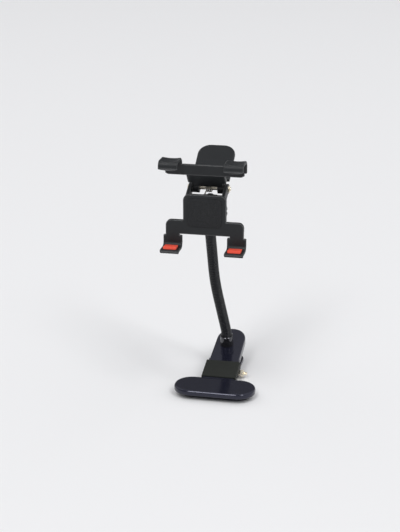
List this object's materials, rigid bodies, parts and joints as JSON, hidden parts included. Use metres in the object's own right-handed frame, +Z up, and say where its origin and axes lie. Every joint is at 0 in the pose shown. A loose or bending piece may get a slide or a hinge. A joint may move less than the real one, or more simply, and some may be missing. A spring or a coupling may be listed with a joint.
{
  "type": "phone holder",
  "caption": "Clip-on phone holder: a spring clip foot, a bendable ribbed metal neck and a spring cradle with hooked claws on a ball joint.",
  "frame": {"origin": "on the flat underside of the lower clip jaw, straight below the clip's hinge axis", "axes": "+Z up, -Y towards the front of the cradle, where the phone's screen faces, +X to the right seen from the front"},
  "size_m": [0.077, 0.1474, 0.2284],
  "materials": {
    "gloss_black_plastic": "glossy moulded plastic, bluish black",
    "dark_grey_plastic": "satin moulded plastic, dark grey",
    "matt_grey_plastic": "matt moulded plastic, greenish dark grey",
    "satin_black_metal": "satin black coated steel",
    "nickel_steel": "bright plated steel",
    "red_silicone": "soft coral red silicone",
    "black_rubber": "soft black rubber"
  },
  "bodies": {
    "clip_lower": {"lower_jaw": "gloss_black_plastic", "lower_jaw_pad": "black_rubber"},
    "clip_upper": {"upper_jaw": "gloss_black_plastic", "upper_jaw_pad": "black_rubber", "hinge_cover": "matt_grey_plastic", "clip_pin": "nickel_steel", "clip_pin_nut": "nickel_steel", "clip_spring": "nickel_steel", "stem_ferrule": "satin_black_metal", "stem_bolt": "nickel_steel", "stem_washer": "nickel_steel", "stem_nut": "nickel_steel"},
    "neck_tube": {"gooseneck": "satin_black_metal"},
    "neck_end": {"head_ferrule": "satin_black_metal", "ball_stud": "nickel_steel"},
    "ball_collar": {"locking_collar": "dark_grey_plastic"},
    "cradle_fixed": {"fixed_jaw": "dark_grey_plastic", "back_cushion": "black_rubber", "lower_claw_pad_left": "red_silicone", "lower_claw_pad_right": "red_silicone", "jaw_pin": "nickel_steel", "jaw_pin_keeper": "nickel_steel", "jaw_spring": "nickel_steel"},
    "cradle_moving": {"moving_jaw": "dark_grey_plastic", "upper_claw_pad_left": "red_silicone", "upper_claw_pad_right": "red_silicone"}
  },
  "joints": [
    {"name": "clip_open", "type": "hinge", "parent": "clip_lower", "child": "clip_upper", "pos_m": [0, 0, 0.0049], "axis": [-1, 0, 0], "range_deg": [0, 17], "stiffness_Nm_per_rad": 1.2, "springref_deg": -28.65, "deforming": ["clip_spring"]},
    {"name": "neck_bend", "type": "hinge", "parent": "clip_upper", "child": "neck_tube", "pos_m": [-0.0065, 0.0159, 0.0656], "axis": [1, 0, 0], "range_deg": [-30, 30], "deforming": ["gooseneck"]},
    {"name": "neck_sway", "type": "hinge", "parent": "neck_tube", "child": "neck_end", "pos_m": [-0.0105, 0.0024, 0.1086], "axis": [0, 1, 0], "range_deg": [-30, 30], "deforming": ["gooseneck"]},
    {"name": "head_tilt", "type": "hinge", "parent": "neck_end", "child": "ball_collar", "pos_m": [-0.0038, -0.05, 0.1763], "axis": [-1, 0, 0], "range_deg": [-5, 40]},
    {"name": "head_roll", "type": "hinge", "parent": "ball_collar", "child": "cradle_fixed", "pos_m": [-0.0038, -0.05, 0.1763], "axis": [0, 1, 0], "range_deg": [-90, 90]},
    {"name": "jaw_open", "type": "hinge", "parent": "cradle_fixed", "child": "cradle_moving", "pos_m": [-0.0038, -0.053, 0.1978], "axis": [-1, 0, 0], "range_deg": [-30, 25], "stiffness_Nm_per_rad": 0.5, "deforming": ["jaw_spring"]}
  ]
}
